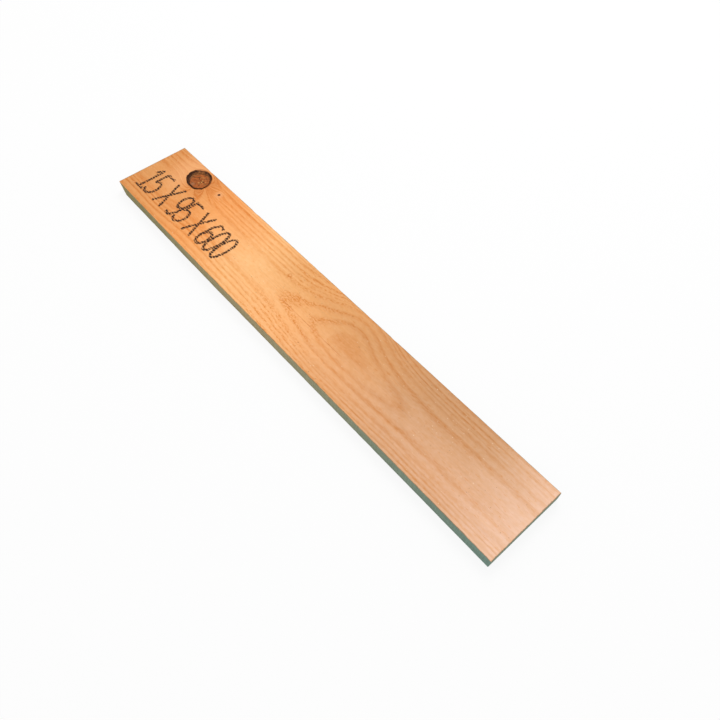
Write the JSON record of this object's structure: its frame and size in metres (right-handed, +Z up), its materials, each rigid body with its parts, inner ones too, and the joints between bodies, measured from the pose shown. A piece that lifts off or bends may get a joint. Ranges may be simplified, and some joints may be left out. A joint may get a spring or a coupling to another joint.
{
  "type": "timber plank",
  "caption": "Flat sawn softwood plank with worn arrises, square-cut ends, a shrunken dead knot near one end, a hairline drying split and one broken corner.",
  "frame": {"origin": "centre of the underside: the middle of the length and of the width, on the face that the plank lies on", "axes": "+X along the grain towards the clear front end, away from the large knot; +Y across the width towards the right long edge, where the large knot is; +Z up through the thickness"},
  "size_m": [0.6, 0.095, 0.015],
  "materials": {
    "softwood": "bare sawn and planed spruce, warm honey orange faces with growth rings, dull grey-brown weathered edges and ends, matte"
  },
  "bodies": {
    "root": {"plank": "softwood"}
  },
  "joints": []
}
